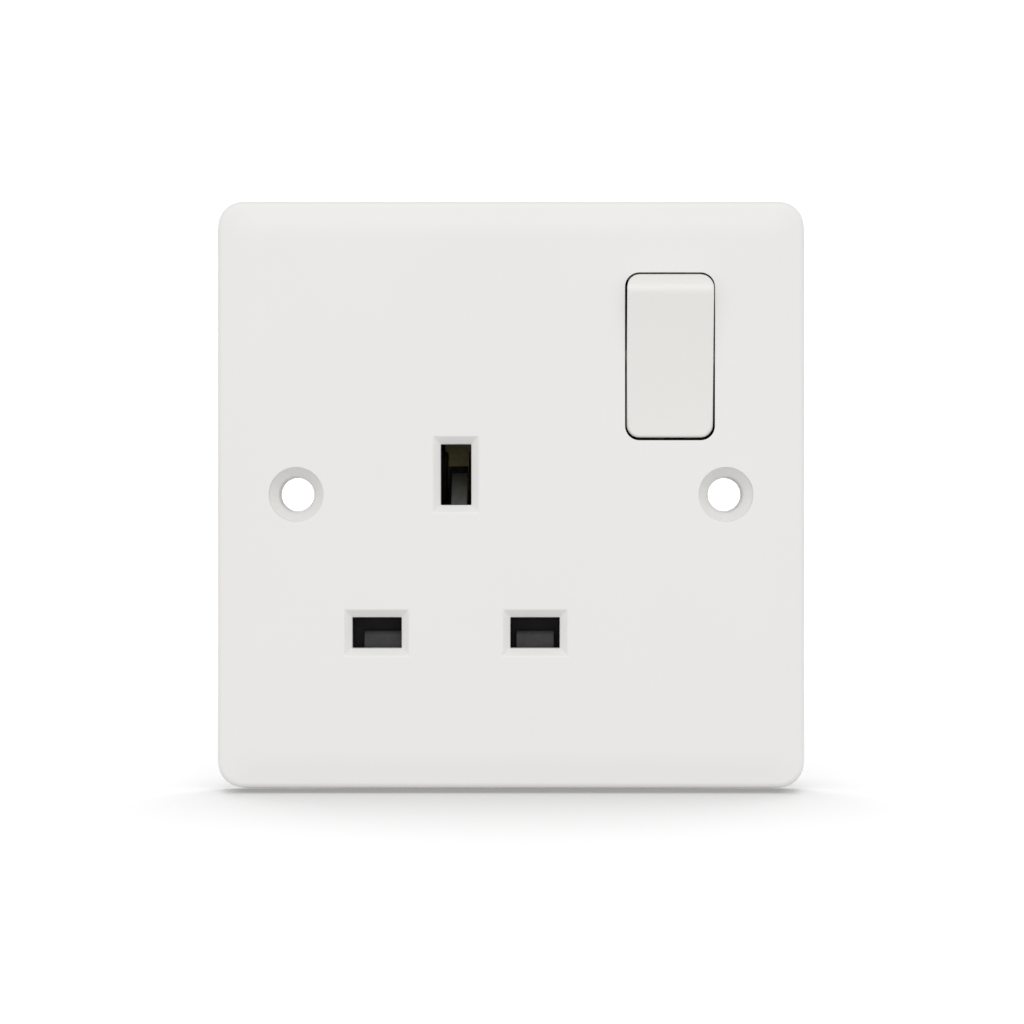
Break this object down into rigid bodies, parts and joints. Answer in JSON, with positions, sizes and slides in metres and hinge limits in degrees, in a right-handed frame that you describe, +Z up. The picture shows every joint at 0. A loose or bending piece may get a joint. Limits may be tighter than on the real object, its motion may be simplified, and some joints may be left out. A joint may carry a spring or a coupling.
{
  "type": "switched wall socket",
  "caption": "Square flush wall socket with bevelled pin slots, countersunk fixing holes and a rocker switch; a spring shutter, brass contacts and terminals sit in the rear base.",
  "frame": {"origin": "centre of the plate on the wall plane, midway between the fixing holes", "axes": "+X to the right seen from the front, +Y into the wall, +Z up"},
  "size_m": [0.084, 0.0281, 0.084],
  "materials": {
    "white_moulding": "satin moulded",
    "rocker_moulding": "satin moulded",
    "dark_moulding": "as moulded",
    "plunger_moulding": "as moulded",
    "brass_strip": "pressed",
    "brass_block": "sawn and drilled",
    "spring_steel": "drawn",
    "zinc_steel": "zinc plated",
    "silver": "pressed"
  },
  "bodies": {
    "socket": {"front_plate": "white_moulding", "rear_base": "dark_moulding", "base_screws": "zinc_steel", "fixed_contact_strip": "brass_strip", "fixed_contact_tip": "silver", "live_contact": "brass_strip", "neutral_contact": "brass_strip", "earth_contact": "brass_strip", "live_terminal": "brass_block", "neutral_terminal": "brass_block", "earth_terminal": "brass_block", "terminal_screws": "zinc_steel", "shutter_spring": "spring_steel", "shutter_tray": "dark_moulding"},
    "rocker": {"switch_rocker": "rocker_moulding", "rocker_spring": "spring_steel"},
    "plunger": {"rocker_plunger": "plunger_moulding"},
    "blade": {"moving_contact": "brass_strip", "moving_contact_tip": "silver"},
    "shutter": {"shutter": "dark_moulding"}
  },
  "joints": [
    {"name": "switch_rock", "type": "hinge", "parent": "socket", "child": "rocker", "pos_m": [0.0223, -0.004, 0.0195], "axis": [1, 0, 0], "range_deg": [-14, 0]},
    {"name": "contact_rock", "type": "hinge", "parent": "socket", "child": "blade", "pos_m": [0.0223, 0.0082, 0.0195], "axis": [1, 0, 0], "range_deg": [0, 16]},
    {"name": "plunger_slide", "type": "slide", "parent": "rocker", "child": "plunger", "axis": [0, 0.9925, 0.1219], "range_m": [-0.001, 0], "stiffness_N_per_m": 700, "springref_m": 0.002, "deforming": ["rocker_spring"]},
    {"name": "shutter_slide", "type": "slide", "parent": "socket", "child": "shutter", "axis": [0, 0, -1], "range_m": [0, 0.0052], "stiffness_N_per_m": 180, "springref_m": -0.005, "deforming": ["shutter_spring"]}
  ],
  "couplings": [
    {"joint": "contact_rock", "follows": "switch_rock", "ratio": -1.1429}
  ]
}
